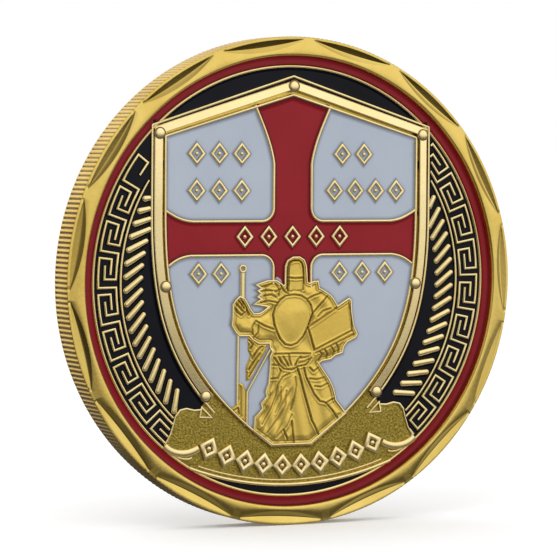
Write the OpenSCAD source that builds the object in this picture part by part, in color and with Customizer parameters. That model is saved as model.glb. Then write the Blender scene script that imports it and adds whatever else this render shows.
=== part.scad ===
// Struck and enamelled challenge coin, standing on its reeded edge.
// The design face looks along -Y, the other face along +Y, +Z is up.

/* [Coin] */
// Diameter over the reeded edge
coin_d = 40; // [38:0.5:50]
// Thickness over the two rims
coin_t = 3; // [2.8:0.1:4]
// Depth of the struck recess below the rim
recess = 1.0; // [0.8:0.05:1.1]

/* [Edge] */
// Number of reeds round the edge
reed_count = 310; // [150:10:340]
// Depth of the grooves between reeds
reed_depth = 0.14; // [0.08:0.01:0.2]
// Number of cuts round each rim
scallops = 15; // [8:1:18]
// Depth of each cut below the rim
scallop_depth = 0.25; // [0.2:0.05:0.4]

/* [Relief] */
// Height of the thin metal lines above the recess floor
wire_h = 0.42; // [0.35:0.01:0.5]
// Width of the thin metal lines
wire_w = 0.22; // [0.16:0.01:0.26]
// Height of the shield frame above the recess floor
frame_h = 0.52; // [0.45:0.01:0.6]
// Height of the ribbon above the recess floor
ribbon_h = 0.25; // [0.2:0.01:0.3]
// Height of the figure above the recess floor
figure_h = 0.46; // [0.4:0.01:0.5]

/* [Enamel] */
// Thickness of the enamel in every cell
enamel_h = 0.28; // [0.2:0.01:0.33]

/* [Hidden] */

coin_r = coin_d / 2;
half_t = coin_t / 2;
// Drawing scale: the art is laid out for a coin 20 mm in radius
k = coin_r / 20;
floor_z = half_t - recess;
sink = 0.1;

// Rings, as radii on the 20 mm layout
rim_in = 18.4;
rim_step = 18.6;
rim_out = 19.72;
ring_red_in = 17.7;
ring_wire_in = 17.45;
divider_r = 15.2;

// Reeded band
land_share = 0.6;
pitch_a = 360 / reed_count;
root_r = coin_r - reed_depth;
band_z = half_t - scallop_depth;
reed_z = band_z - 0.03;
stand_z = coin_r * cos(pitch_a * land_share / 2);

// Rim cuts
cut_pitch = 360 / scallops;
cut_phase = 15.3;
cut_in = 18.8;
cut_r = 5.63;

// Key pattern
key_pitch = 10;
key_phase = 8.8;
key_out = 17.15;
key_in = 15.6;
key_mid_out = 16.62;
key_mid_in = 16.1;
key_w = 0.2;

// Rope bars
bar_pitch = 4.24;
bar_in = 13.4;
bar_out = 14.78;
bar_lean = 4.2;
bar_w = 0.3;

// Shield
field_apex = 15.1;
field_x = 11.25;
field_top = 11.75;
field_turn = 6;
foot_x = 1.75;
foot_y = -13.35;
frame_w = 1.38;
outer_apex = 16.88;
outer_top = 12.78;
steps = 14;
rivet_r = 0.4;

// ---------- helpers ----------

function polar(a, r) = [r * sin(a), r * cos(a)];
function unit(v) = v / norm(v);
function left_of(v) = [-v[1], v[0]];
function dir_at(p, i) =
    let (a = p[max(i - 1, 0)], b = p[i], c = p[min(i + 1, len(p) - 1)])
    let (u = i == 0 ? unit(c - b) : unit(b - a))
    let (v = i == len(p) - 1 ? u : unit(c - b))
    let (n = left_of(u) + left_of(v))
    n / max(0.3, n * left_of(u));
// Closed outline of a line of width w drawn through the points p
function stroke(p, w) = concat(
    [for (i = [0 : len(p) - 1]) p[i] + dir_at(p, i) * w / 2],
    [for (i = [len(p) - 1 : -1 : 0]) p[i] - dir_at(p, i) * w / 2]);
function arc(cx, cy, r, a0, a1, n) =
    [for (i = [0 : n]) [cx, cy] + r * [cos(a0 + (a1 - a0) * i / n), sin(a0 + (a1 - a0) * i / n)]];
function bez(a, b, c, d, t) =
    a * pow(1 - t, 3) + 3 * b * t * pow(1 - t, 2) + 3 * c * t * t * (1 - t) + d * pow(t, 3);
function bez_dir(a, b, c, d, t) =
    (b - a) * pow(1 - t, 2) + 2 * (c - b) * t * (1 - t) + (d - c) * t * t;
function curve(a, b, c, d, n) = [for (i = [0 : n]) bez(a, b, c, d, i / n)];
function flip(p) = [for (i = [len(p) - 1 : -1 : 0]) [-p[i][0], p[i][1]]];

// Lays flat art on the face at height z0 above mid-thickness, h thick
module lay(z0, h) {
    translate([0, 0, z0])
        linear_extrude(h)
            scale(k)
                children();
}

// Stands the coin on its edge with the design face to -Y
module stand() {
    translate([0, 0, stand_z])
        rotate([90, 0, 0])
            children();
}

// Puts art of the other face in place
module reverse() {
    rotate([0, 180, 0])
        children();
}

module band(r1, r0) {
    difference() {
        circle(r = r1, $fn = 96);
        circle(r = r0, $fn = 96);
    }
}

// ---------- shield outline ----------

side_a = [field_x, field_turn];
side_b = [field_x + 0.05, -3];
side_c = [9.6, -7.6];
side_d = [foot_x, foot_y];
function side(t, d) =
    let (v = unit(bez_dir(side_a, side_b, side_c, side_d, t)))
    bez(side_a, side_b, side_c, side_d, t) + d * [-v[1], v[0]];
// Right half of the shield outline, grown outward by d
function half_shield(d) = concat(
    [[0, field_apex + d * (outer_apex - field_apex) / frame_w],
    [field_x + d * 0.98, field_top + d * (outer_top - field_top) / frame_w]],
    [for (i = [0 : steps]) side(i / steps, d)]);
function shield(d) = concat(half_shield(d), flip(half_shield(d)));

module shield_area(d) {
    polygon(shield(d));
}

module shield_ring(d1, d0) {
    difference() {
        shield_area(d1);
        shield_area(d0);
    }
}

// ---------- art of the design face ----------

// One key: two hooks joined by a cross bar at angle a
function key_line(a) = [
    polar(a - 3.8, key_mid_out),
    polar(a - 7.7, key_mid_out),
    polar(a - 7.7, key_in),
    polar(a - 3.8, key_in),
    polar(a, key_in),
    polar(a, key_out),
    polar(a + 4, key_out),
    polar(a + 8.1, key_out),
    polar(a + 8.1, key_mid_in),
    polar(a + 3.7, key_mid_in)];

module keys(a0, a1) {
    for (a = [a0 : key_pitch : a1])
        polygon(stroke(key_line(a), key_w));
}

module rope(a0, a1) {
    for (a = [a0 : bar_pitch : a1])
        polygon(concat(
            arc(polar(a, bar_out)[0], polar(a, bar_out)[1], bar_w / 2,
                -a - 40, 140 - a, 3),
            arc(polar(a + bar_lean, bar_in)[0], polar(a + bar_lean, bar_in)[1], bar_w / 2,
                140 - a, 320 - a, 3)));
}

module side_window(s) {
    polygon([[s * 6, -11], [s * 9.5, -11], [s * 11.6, -13.4], [s * 19, -9], [s * 19, 13], [s * 11.9, 13]]);
}

// Outline of the ribbon, right half from the middle of its foot
ribbon_r = 26.05;
ribbon_cy = 9.3;
function ribbon_half() = concat(
    arc(0, ribbon_cy, ribbon_r, 270, 284.5, 6),
    [[8.3, -15.35], [9.6, -14.7], [10.9, -13.75], [11.3, -13.15]],
    [[10.8, -12.3], [10.5, -11.4]],
    curve([10.35, -10.8], [10.1, -10.2], [9.4, -10.1], [8.15, -10.35], 4));
module ribbon_area() {
    difference() {
        intersection() {
            polygon(concat(ribbon_half(), [[7.2, -8.6], [0, -9], [-7.2, -8.6]], flip(ribbon_half())));
            circle(r = ring_wire_in + 0.1, $fn = 96);
        }
        shield_area(0.12);
    }
}

// Line between the cross and the upper right quarter, and the lower right one
function upper_line() = concat(
    curve([3.5, 14.7], [2.6, 12.6], [1.95, 11.2], [1.71, 9.6], 5),
    arc(2.76, 5.96, 1.05, 180, 270, 4),
    [[6.5, 4.91]],
    curve([8.9, 4.91], [9.9, 5], [10.5, 5.35], [11.9, 6.1], 4));
function lower_line() = concat(
    curve([11.9, 0.85], [10.6, 1.75], [10.1, 2.05], [9.1, 2.14], 4),
    [[6.5, 2.14]],
    arc(2.76, 1.09, 1.05, 90, 180, 4),
    [[1.71, -1.5]]);

module quarter_lines() {
    polygon(stroke(upper_line(), wire_w));
    polygon(flip(stroke(upper_line(), wire_w)));
    polygon(stroke(lower_line(), wire_w));
    polygon(flip(stroke(lower_line(), wire_w)));
}

// Small lozenge with a pellet in it, one for each place in the rows
module lozenge(w, h) {
    difference() {
        polygon([[w, 0], [0, h], [-w, 0], [0, -h]]);
        polygon([[w - 0.34, 0], [0, h - 0.4], [0.34 - w, 0], [0, 0.4 - h]]);
    }
    circle(r = 0.16, $fn = 8);
}

module motif_row(xs, y) {
    for (x = xs)
        translate([x, y])
            lozenge(0.72, 0.85);
}

module motifs() {
    motif_row([-8.6, -6.6, -4.6, 4.5, 6.5], 10.4);
    motif_row([-8.6, -6.6, -4.6, 3.8, 5.7, 7.6, 9.5], 7.4);
    motif_row([-4.3, -2.15, 0, 2.15, 4.3], 3.65);
    motif_row([-8.4, -6.4, 4.3, 6.4, 8.5], 0.65);
}

module ribbon_motifs() {
    for (i = [-4.5 : 1 : 4.5])
        translate([0, 2.6])
            rotate([0, 0, i * 5.5])
                translate([0, -17.75])
                    lozenge(0.66, 0.72);
}

// ---------- figure ----------

helm = [[-0.6, -1], [-0.62, 1.3], [-0.35, 1.75], [0.12, 1.96], [0.6, 1.96], [1.05, 1.7], [1.25, 1.2], [1.3, -1]];
torso = [[-0.6, -0.6], [-1, -0.2], [-1.5, 0.03], [-2.3, 0.03], [-3.2, -0.3], [-3.05, -0.8], [-2.9, -1.4],
    [-3.4, -1.9], [-2.1, -2.05], [-2.9, -2.65], [-3.6, -2.65], [-4.3, -1.4], [-4.75, -1.2], [-5.3, -1.9],
    [-5.43, -3.5], [-5, -4.2], [-3.7, -4.45], [-3, -5.05], [-2, -5.1], [-1.7, -6.6], [0, -7.3], [2.4, -6.8],
    [2.7, -6.58], [3.5, -6.45], [4.6, -5.95], [4.7, -5.5], [5.8, -4.7], [5.95, -4.4], [5.6, -3.8],
    [5.4, -1.65], [5.17, -1.5], [4.13, -2.15], [3.64, -1.4], [2.96, -0.9], [2.42, -0.6], [2.34, -0.05],
    [1.55, -0.2], [1.2, -0.6]];
skirt = [[-1.9, -6.4], [-2, -7.4], [-2.3, -9], [-2.7, -10], [-2.9, -10.8], [-3.3, -11.1], [-3.5, -12.4],
    [-2.4, -14], [2.4, -14], [5.6, -11.4], [4.9, -10.95], [4.1, -9.9], [3.86, -9.05], [3.4, -8.15], [2.4, -6.8],
    [2, -5.6], [-1.5, -5.6]];
block = [[1.4, -3.75], [4.95, -1.75], [5.4, -3.9], [1.95, -5.45]];
staff_line = [[-4.46, 0.9], [-4.46, -2], [-4.8, -10.9]];
scabbard_line = [[-1.8, -5.5], [-4.05, -9.1], [-4.1, -12]];

module staff() {
    difference() {
        union() {
            polygon(stroke(staff_line, 0.38));
            translate([-4.46, 1.05])
                circle(r = 0.36, $fn = 24);
        }
        translate([-4.46, 1.05])
            circle(r = 0.14, $fn = 24);
    }
    polygon([[-4.1, -8.3], [-4.1, -12], [-5.9, -10.6], [-4.8, -9.9], [-4.4, -8.6]]);
}

module figure_area() {
    polygon(helm);
    polygon(torso);
    intersection() {
        polygon(skirt);
        shield_area(0.1);
    }
    intersection() {
        union() {
            staff();
            polygon(stroke(scabbard_line, 0.3));
        }
        shield_area(0.1);
    }
}

module figure_upper() {
    translate([0.05, -3.15])
        scale([0.82, 1])
            circle(r = 2, $fn = 48);
    polygon(block);
    polygon([[-0.45, 0.3], [-0.4, 1.3], [0, 1.7], [0.55, 1.7], [0.95, 1.3], [1.02, 0.3]]);
}

// ---------- rows of metal art ----------

module thin_metal() {
    difference() {
        intersection() {
            union() {
                shield_ring(frame_w, frame_w - 0.2);
                intersection() {
                    band(divider_r + 0.09, divider_r - 0.09);
                    union() {
                        side_window(1);
                        side_window(-1);
                    }
                }
            }
            circle(r = ring_wire_in + 0.1, $fn = 96);
        }
        ribbon_area();
    }
    shield_ring(0.2, 0);
    intersection() {
        union() {
            keys(48.8, 128.8);
            keys(228.8, 298.8);
            rope(66.6, 132);
            rope(229.5, 291);
        }
        difference() {
            union() {
                side_window(1);
                side_window(-1);
            }
            shield_area(frame_w);
            ribbon_area();
        }
    }
    intersection() {
        quarter_lines();
        shield_area(0.1);
    }
    motifs();
}

module frame_area() {
    difference() {
        shield_ring(1.08, 0.4);
        ribbon_area();
        translate([-9, -24])
            square([18, 14.2]);
    }
}

module all_metal() {
    thin_metal();
    frame_area();
    ribbon_area();
    figure_area();
}

module rivets() {
    for (p = [[0, 15.95], [-11.9, 12], [11.9, 12], [-11.3, -0.3], [11.3, -0.3], [-7.75, -9.25], [7.75, -9.25]])
        translate([p[0] * k, p[1] * k, floor_z + frame_h - 0.28])
            sphere(r = rivet_r, $fn = 32);
}

// ---------- art of the other face ----------

leaf_count = 12;
panel_r = 7.2;
module leaf() {
    polygon(concat(arc(-0.9, 0, 1.3, -46, 46, 4), arc(0.9, 0, 1.3, 134, 226, 4)));
}

module wreath() {
    for (s = [-1, 1])
        for (i = [0 : leaf_count - 1])
            rotate([0, 0, 180 + s * (14 + i * 12.2)])
                translate([0, 10.2])
                    rotate([0, 0, s * 62])
                        leaf();
}

module back_metal() {
    wreath();
    band(13.1, 12.85);
    band(panel_r + 0.5, panel_r);
    for (i = [0 : 23])
        rotate([0, 0, i * 15])
            translate([0, 15.25])
                polygon([[0.4, 0], [0, 1.1], [-0.4, 0], [0, -1.1]]);
}

// ---------- pieces ----------

module reeds() {
    points = [for (i = [0 : reed_count - 1]) each [
        polar(180 + (i - land_share / 2) * pitch_a, coin_r),
        polar(180 + (i + land_share / 2) * pitch_a, coin_r),
        polar(180 + (i + 0.5) * pitch_a, root_r)]];
    difference() {
        translate([0, 0, -reed_z])
            linear_extrude(2 * reed_z)
                polygon(points);
        translate([0, 0, -coin_t])
            cylinder(h = 2 * coin_t, r = root_r - 0.5, $fn = 720);
    }
}

// Disc with the recess floors, the ring wires and the step that the rims stand on
module blank() {
    rotate_extrude($fn = 96)
        polygon([
            [0, -floor_z],
            [ring_wire_in * k, -floor_z],
            [ring_wire_in * k, -floor_z - wire_h],
            [ring_red_in * k, -floor_z - wire_h],
            [ring_red_in * k, -floor_z],
            [rim_step * k, -floor_z],
            [rim_step * k, -band_z],
            [root_r - 0.06, -band_z],
            [root_r - 0.06, band_z],
            [rim_step * k, band_z],
            [rim_step * k, floor_z],
            [ring_red_in * k, floor_z],
            [ring_red_in * k, floor_z + wire_h],
            [ring_wire_in * k, floor_z + wire_h],
            [ring_wire_in * k, floor_z],
            [0, floor_z]]);
}

// Raised rim with the cuts round it
module rim() {
    difference() {
        band(rim_out, rim_in);
        for (i = [0 : scallops - 1])
            rotate([0, 0, -cut_phase - i * cut_pitch])
                translate([0, cut_in + cut_r])
                    circle(r = cut_r, $fn = 96);
    }
}

module coin_body() {
    color([0.83, 0.66, 0.3])
        stand() {
            blank();
            reeds();
            lay(floor_z - sink, recess + sink)
                rim();
            reverse()
                lay(floor_z - sink, recess + sink)
                    rim();
            lay(floor_z - sink, sink + wire_h)
                thin_metal();
            lay(floor_z - sink, sink + frame_h)
                frame_area();
            lay(floor_z - sink, sink + ribbon_h)
                ribbon_area();
            lay(floor_z - sink, sink + wire_h)
                ribbon_motifs();
            lay(floor_z - sink, sink + figure_h - 0.12)
                figure_area();
            lay(floor_z - sink, sink + figure_h)
                figure_upper();
            rivets();
            reverse()
                lay(floor_z - sink, sink + wire_h)
                    back_metal();
        }
}

// Enamel filling the given part of the recess, clear of the metal
module front_fill(c) {
    color(c)
        stand()
            lay(floor_z, enamel_h)
                difference() {
                    children();
                    all_metal();
                }
}

red = [0.5, 0.05, 0.08];
black = [0.03, 0.03, 0.05];
white = [0.72, 0.75, 0.82];

module ring_fill() {
    lay(floor_z, enamel_h)
        band(rim_in, ring_red_in);
}

module front_red_ring() {
    color(red)
        stand()
            ring_fill();
}

module front_black_top() {
    color(black)
        stand()
            lay(floor_z, enamel_h)
                difference() {
                    intersection() {
                        circle(r = ring_wire_in, $fn = 96);
                        translate([-12, 12.9])
                            square([24, 5]);
                    }
                    shield_area(frame_w);
                }
}

module key_cell(s) {
    intersection() {
        band(ring_wire_in, divider_r);
        side_window(s);
    }
}

module rope_cell(s) {
    intersection() {
        circle(r = divider_r, $fn = 96);
        side_window(s);
    }
}

module front_black_keys_left() {
    front_fill(black)
        key_cell(-1);
}

module front_black_keys_right() {
    front_fill(black)
        key_cell(1);
}

module front_black_rope_left() {
    front_fill(black)
        rope_cell(-1);
}

module front_black_rope_right() {
    front_fill(black)
        rope_cell(1);
}

module front_black_foot() {
    color(black)
        stand()
            lay(floor_z, enamel_h)
                difference() {
                    circle(r = ring_wire_in, $fn = 96);
                    translate([0, ribbon_cy])
                        circle(r = ribbon_r, $fn = 96);
                }
}

module upper_quarter() {
    intersection() {
        polygon(concat(upper_line(), [[16, 6], [16, 16]]));
        shield_area(0);
    }
}

module lower_quarter() {
    intersection() {
        polygon(concat(lower_line(), [[1.71, -14], [16, -14]]));
        shield_area(0);
    }
}

module front_white_upper_left() {
    front_fill(white)
        mirror([1, 0])
            upper_quarter();
}

module front_white_upper_right() {
    front_fill(white)
        upper_quarter();
}

pool_window = [[-4.62, -4], [-0.5, -4], [-0.5, -15], [-4.9, -15], [-4.9, -11]];

module front_white_lower_left() {
    front_fill(white)
        difference() {
            mirror([1, 0])
                lower_quarter();
            polygon(pool_window);
        }
}

module front_white_pool() {
    front_fill(white)
        intersection() {
            mirror([1, 0])
                lower_quarter();
            polygon(pool_window);
        }
}

module front_white_lower_right() {
    front_fill(white)
        lower_quarter();
}

module front_red_cross() {
    front_fill(red)
        difference() {
            shield_area(0);
            upper_quarter();
            mirror([1, 0])
                upper_quarter();
            lower_quarter();
            mirror([1, 0])
                lower_quarter();
        }
}

module back_red_ring() {
    color(red)
        stand()
            reverse()
                ring_fill();
}

module back_black_ring() {
    color(black)
        stand()
            reverse()
                lay(floor_z, enamel_h)
                    difference() {
                        band(ring_wire_in, 13.1);
                        back_metal();
                    }
}

module back_white_panel() {
    color(white)
        stand()
            reverse()
                lay(floor_z, enamel_h)
                    circle(r = panel_r, $fn = 96);
}

coin_body();
front_red_ring();
front_black_top();
front_black_keys_left();
front_black_keys_right();
front_black_rope_left();
front_black_rope_right();
front_black_foot();
front_white_upper_left();
front_white_upper_right();
front_white_lower_left();
front_white_lower_right();
front_white_pool();
front_red_cross();
back_red_ring();
back_black_ring();
back_white_panel();
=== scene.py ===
import bpy
import math
import numpy as np
from mathutils import Matrix, Vector
from mathutils.geometry import delaunay_2d_cdt


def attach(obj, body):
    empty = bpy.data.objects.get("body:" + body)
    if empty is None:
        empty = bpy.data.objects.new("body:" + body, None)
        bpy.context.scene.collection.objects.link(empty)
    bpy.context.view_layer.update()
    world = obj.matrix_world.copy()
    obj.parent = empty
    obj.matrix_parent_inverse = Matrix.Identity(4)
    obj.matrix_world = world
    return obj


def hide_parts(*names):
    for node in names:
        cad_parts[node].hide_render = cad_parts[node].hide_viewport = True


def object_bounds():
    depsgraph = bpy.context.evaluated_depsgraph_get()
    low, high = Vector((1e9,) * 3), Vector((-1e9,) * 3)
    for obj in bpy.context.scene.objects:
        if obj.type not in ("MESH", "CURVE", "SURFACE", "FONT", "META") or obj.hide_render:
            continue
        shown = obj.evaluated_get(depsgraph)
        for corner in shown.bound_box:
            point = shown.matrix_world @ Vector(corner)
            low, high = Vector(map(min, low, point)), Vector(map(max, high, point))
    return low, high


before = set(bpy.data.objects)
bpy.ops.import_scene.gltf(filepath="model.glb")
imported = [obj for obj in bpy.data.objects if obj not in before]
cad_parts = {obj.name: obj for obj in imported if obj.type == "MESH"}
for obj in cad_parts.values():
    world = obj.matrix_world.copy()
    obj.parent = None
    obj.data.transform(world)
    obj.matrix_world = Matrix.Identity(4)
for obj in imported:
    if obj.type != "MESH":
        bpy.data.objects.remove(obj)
cad_lo, cad_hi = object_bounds()

# All drawing below is in millimetres on the coin's own face: x right, y up, z out of the face.
# The coin stands on its edge, so a face point (x, y, z) goes to the row frame as (x, -z, y + STAND).
# R is the coin's radius, FLOOR the height of the recess floor, SINK how far the drawn art is lowered
# into the recess, and ENAMEL the enamel's level as it is drawn.
R = 20.0
FLOOR = 0.5
SINK = 0.35
ENAMEL = 1.13
STAND = (cad_hi[2] - cad_lo[2]) * 500 + cad_lo[2] * 1000
MM = 0.001


# ---- materials

def new_mat(name):
    m = bpy.data.materials.new(name)
    m.use_nodes = True
    nt = m.node_tree
    return m, nt, nt.nodes["Principled BSDF"]


def node(nt, kind, **sets):
    n = nt.nodes.new(kind)
    for key, value in sets.items():
        if key in n.inputs:
            n.inputs[key].default_value = value
        else:
            setattr(n, key, value)
    return n


def ramp(nt, src, stops):
    r = nt.nodes.new("ShaderNodeValToRGB")
    e = r.color_ramp.elements
    while len(e) < len(stops):
        e.new(0.5)
    for i, (p, c) in enumerate(stops):
        e[i].position = p
        e[i].color = (*c, 1) if len(c) == 3 else c
    nt.links.new(src, r.inputs[0])
    return r


def noise(nt, scale, detail=3.0, rough=0.55):
    place = node(nt, "ShaderNodeTexCoord")
    n = node(nt, "ShaderNodeTexNoise", Scale=scale, Detail=detail, Roughness=rough)
    nt.links.new(place.outputs["Object"], n.inputs["Vector"])
    return n


def bump(nt, bsdf, src, strength, dist):
    b = node(nt, "ShaderNodeBump", Strength=strength, Distance=dist)
    nt.links.new(src, b.inputs["Height"])
    nt.links.new(b.outputs[0], bsdf.inputs["Normal"])
    return b


# Colour of the painted shade on the gold, mixed in where the shade attribute says
PAINTED_SHADE_COLOUR = (0.095, 0.045, 0.003, 1)


def gold(name, light, dark, rough, grain, grain_h, shade=False, tones=260.0):
    """Gold plate: two tones mottled, a grain, and painted shade, a dark brown mixed in where the shade
    attribute says.
    """
    m, nt, b = new_mat(name)
    b.inputs["Metallic"].default_value = 1.0
    tone = noise(nt, tones, 4.0, 0.6)
    stops = [(0.3, dark), (0.72, light)] if tones < 1000 else [(0.4, dark), (0.6, light)]
    col = ramp(nt, tone.outputs["Fac"], stops).outputs[0]
    if shade:
        at = node(nt, "ShaderNodeAttribute", attribute_name="shade")
        mix = node(nt, "ShaderNodeMix", data_type="RGBA")
        nt.links.new(at.outputs["Fac"], mix.inputs[0])
        nt.links.new(col, mix.inputs[6])
        mix.inputs[7].default_value = PAINTED_SHADE_COLOUR
        col = mix.outputs[2]
    nt.links.new(col, b.inputs["Base Color"])
    fine = noise(nt, grain, 3.0, 0.6)
    rr = ramp(nt, fine.outputs["Fac"], [(0.25, (rough * 0.8,) * 3), (0.75, (rough * 1.2,) * 3)])
    nt.links.new(rr.outputs[0], b.inputs["Roughness"])
    bump(nt, b, fine.outputs["Fac"], 0.6, grain_h)
    return m


def enamel(name, light, dark, rough=0.14, level=0.3, wave=0.00002):
    """Hardened enamel: glossy, slightly uneven, with a faint mottle in its colour, and painted shade, darker
    where the shade attribute says.
    """
    m, nt, b = new_mat(name)
    tone = noise(nt, 130.0, 3.0, 0.6)
    r = ramp(nt, tone.outputs["Fac"], [(0.3, dark), (0.7, light)])
    at = node(nt, "ShaderNodeAttribute", attribute_name="shade")
    mix = node(nt, "ShaderNodeMix", data_type="RGBA")
    nt.links.new(at.outputs["Fac"], mix.inputs[0])
    nt.links.new(r.outputs[0], mix.inputs[6])
    # Painted shade: the enamel's dark tone at a third of its strength
    mix.inputs[7].default_value = (*[c * 0.35 for c in dark], 1)
    nt.links.new(mix.outputs[2], b.inputs["Base Color"])
    b.inputs["Roughness"].default_value = rough
    b.inputs["IOR"].default_value = 1.5
    b.inputs["Specular IOR Level"].default_value = level
    wavy = noise(nt, 420.0, 2.0, 0.5)
    bump(nt, b, wavy.outputs["Fac"], 0.35, wave)
    return m


POLISHED = gold("gold_polished", (1.0, 0.83, 0.44), (0.95, 0.75, 0.35), 0.25, 5200.0, 0.000004, shade=True)
WIRE = gold("gold_wire", (1.0, 0.82, 0.42), (0.90, 0.70, 0.30), 0.24, 6000.0, 0.000005)
SATIN = gold("gold_satin", (0.91, 0.655, 0.15), (0.79, 0.545, 0.105), 0.37, 4200.0, 0.000012, shade=True)
RIMGOLD = gold("gold_rim", (0.79, 0.585, 0.165), (0.69, 0.485, 0.11), 0.2, 3000.0, 0.00001, shade=True)
BLASTED = gold("gold_blasted", (0.50, 0.375, 0.078), (0.25, 0.18, 0.027), 0.36, 6500.0, 0.00009,
               shade=True, tones=6000.0)
EDGE = gold("gold_edge", (0.90, 0.625, 0.13), (0.74, 0.46, 0.065), 0.28, 3600.0, 0.00001, shade=True)
RED = enamel("enamel_red", (0.235, 0.010, 0.016), (0.195, 0.006, 0.010), level=0.16)
BLACK = enamel("enamel_black", (0.003, 0.0034, 0.007), (0.001, 0.0012, 0.003), 0.18, 0.13)
WHITE = enamel("enamel_white", (0.37, 0.41, 0.475), (0.34, 0.38, 0.45), 0.22, 0.35)


# ---- mesh helpers

class Part:
    """Gathers vertices and faces drawn on the face, then makes one Blender object of them.

    The art is drawn with its lines about 0.2 mm below the rim, and lowered by sink when it is made.
    """

    def __init__(self, name, mat, slot, back=False, sink=SINK):
        self.name, self.mat, self.slot, self.back, self.sink = name, mat, slot, back, sink
        self.v, self.f, self.s = [], [], []

    def add(self, verts, faces, shade=None):
        o = len(self.v)
        self.v += [tuple(map(float, p)) for p in verts]
        self.f += [tuple(i + o for i in f) for f in faces]
        self.s += list(shade) if shade is not None else [0.0] * len(verts)

    def make(self, angle=38, replaces=()):
        pts = []
        for x, y, z in self.v:
            z -= self.sink
            if self.back:
                x, z = -x, -z
            pts.append((x * MM, -z * MM, (y + STAND) * MM))
        me = bpy.data.meshes.new(self.name)
        me.from_pydata(pts, [], self.f)
        me.validate()
        at = me.attributes.new("shade", "FLOAT", "POINT")
        at.data.foreach_set("value", np.clip(np.array(self.s, dtype=np.float32), 0, 1))
        me.materials.append(self.mat)
        me.polygons.foreach_set("use_smooth", [True] * len(me.polygons))
        me.set_sharp_from_angle(angle=math.radians(angle))
        me.update()
        o = bpy.data.objects.new(self.name, me)
        bpy.context.scene.collection.objects.link(o)
        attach(o, "root")
        if replaces:
            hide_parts(*replaces)
        return o


def V(p):
    return np.array(p, dtype=float)


def polar(a, r):
    """Point at clockwise angle a from the top, at radius r."""
    t = math.radians(a)
    return (r * math.sin(t), r * math.cos(t))


def bez(a, b, c, d, n):
    a, b, c, d = V(a), V(b), V(c), V(d)
    return [tuple(a * (1 - t) ** 3 + 3 * b * t * (1 - t) ** 2 + 3 * c * t * t * (1 - t) + d * t ** 3)
            for t in np.linspace(0, 1, n + 1)]


def arc(cx, cy, r, a0, a1, n):
    return [(cx + r * math.cos(math.radians(a)), cy + r * math.sin(math.radians(a)))
            for a in np.linspace(a0, a1, n + 1)]


def flip(p):
    return [(-x, y) for x, y in reversed(p)]


def normals(path, closed):
    p = V(path)
    n = len(p)
    out = []
    for i in range(n):
        a = p[i - 1] if (closed or i) else None
        c = p[(i + 1) % n] if (closed or i < n - 1) else None
        u = (p[i] - a) if a is not None else (c - p[i])
        w = (c - p[i]) if c is not None else u
        u, w = u / np.linalg.norm(u), w / np.linalg.norm(w)
        m = V((-(u + w)[1], (u + w)[0]))
        k = np.linalg.norm(m)
        m = m / k if k > 1e-6 else V((-u[1], u[0]))
        out.append(m / max(0.45, m @ V((-u[1], u[0]))))
    return np.array(out)


def sweep(part, path, profile, closed=False, shade=None):
    """Runs a profile of (offset, height) along a path; offsets are to the left of the way it runs."""
    nrm, p, m = normals(path, closed), V(path), len(profile)
    verts = []
    for i in range(len(p)):
        for off, z in profile:
            q = p[i] + nrm[i] * off
            verts.append((q[0], q[1], z))
    faces = []
    n = len(p)
    for i in range(n if closed else n - 1):
        j = (i + 1) % n
        for k in range(m - 1):
            faces.append((i * m + k, j * m + k, j * m + k + 1, i * m + k + 1)[::-1])
    if not closed:
        faces.append(tuple(range(m))[::-1])
        faces.append(tuple((n - 1) * m + k for k in range(m)))
    part.add(verts, faces, None if shade is None else list(shade) * n)


def wire_profile(w, top, base=1.02, soft=0.3):
    h = w / 2
    e = min(0.1, w * soft)
    return [(-h, base), (-h, top - e), (-h * 0.86, top - e * 0.4), (-h * 0.55, top - e * 0.08), (0, top),
            (h * 0.55, top - e * 0.08), (h * 0.86, top - e * 0.4), (h, top - e), (h, base)]


def fillet_profile(w, rise=0.1, reach=0.22, level=ENAMEL):
    """The edge that enamel forms where it climbs the metal."""
    h = w / 2
    side = [(h + reach, level - 0.004), (h + reach * 0.55, level + rise * 0.12),
            (h + reach * 0.25, level + rise * 0.42), (h + 0.01, level + rise)]
    return [(-x, z) for x, z in side] + [(0, level + rise)] + [(x, z) for x, z in reversed(side)]


def half_fillet(w, rise=0.1, reach=0.3, side=1, level=ENAMEL):
    """The same on one side only: side 1 is the left of the way the line runs, -1 the right."""
    full = fillet_profile(w, rise, reach, level)
    return full[4:] if side > 0 else full[:5]


# Painted shade on the enamel's edges, darkest where it meets the metal
FILLET_SHADE = [0.0, 0.3, 0.6, 0.9, 1.0, 0.9, 0.6, 0.3, 0.0]


def hem(part, path, w, rise, reach, side, level=ENAMEL):
    """Enamel climbing one side of a line, with painted shade towards the line."""
    shade = FILLET_SHADE[4:] if side > 0 else FILLET_SHADE[:5]
    sweep(part, path, half_fillet(w, rise, reach, side, level), shade=shade)


def creep(part, path, w, rise, reach, closed=False):
    """Enamel climbing both sides of a line, with painted shade towards the line."""
    sweep(part, path, fillet_profile(w, rise, reach), closed, FILLET_SHADE)


def sided(path, side):
    """A path drawn for the right half, turned over for the left when side is -1."""
    return path if side > 0 else flip(path)


def placed(points, cx, cy, turn):
    """Points turned by an angle in radians and moved to (cx, cy)."""
    c, s = math.cos(turn), math.sin(turn)
    return [(cx + x * c - y * s, cy + x * s + y * c) for x, y in points]


def inside(points, poly):
    x, y = points[:, 0], points[:, 1]
    res = np.zeros(len(points), bool)
    q = V(poly)
    for i in range(len(q)):
        (x0, y0), (x1, y1) = q[i - 1], q[i]
        if y0 == y1:
            continue
        c = ((y0 > y) != (y1 > y)) & (x < (x1 - x0) * (y - y0) / (y1 - y0) + x0)
        res ^= c
    return res


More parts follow.
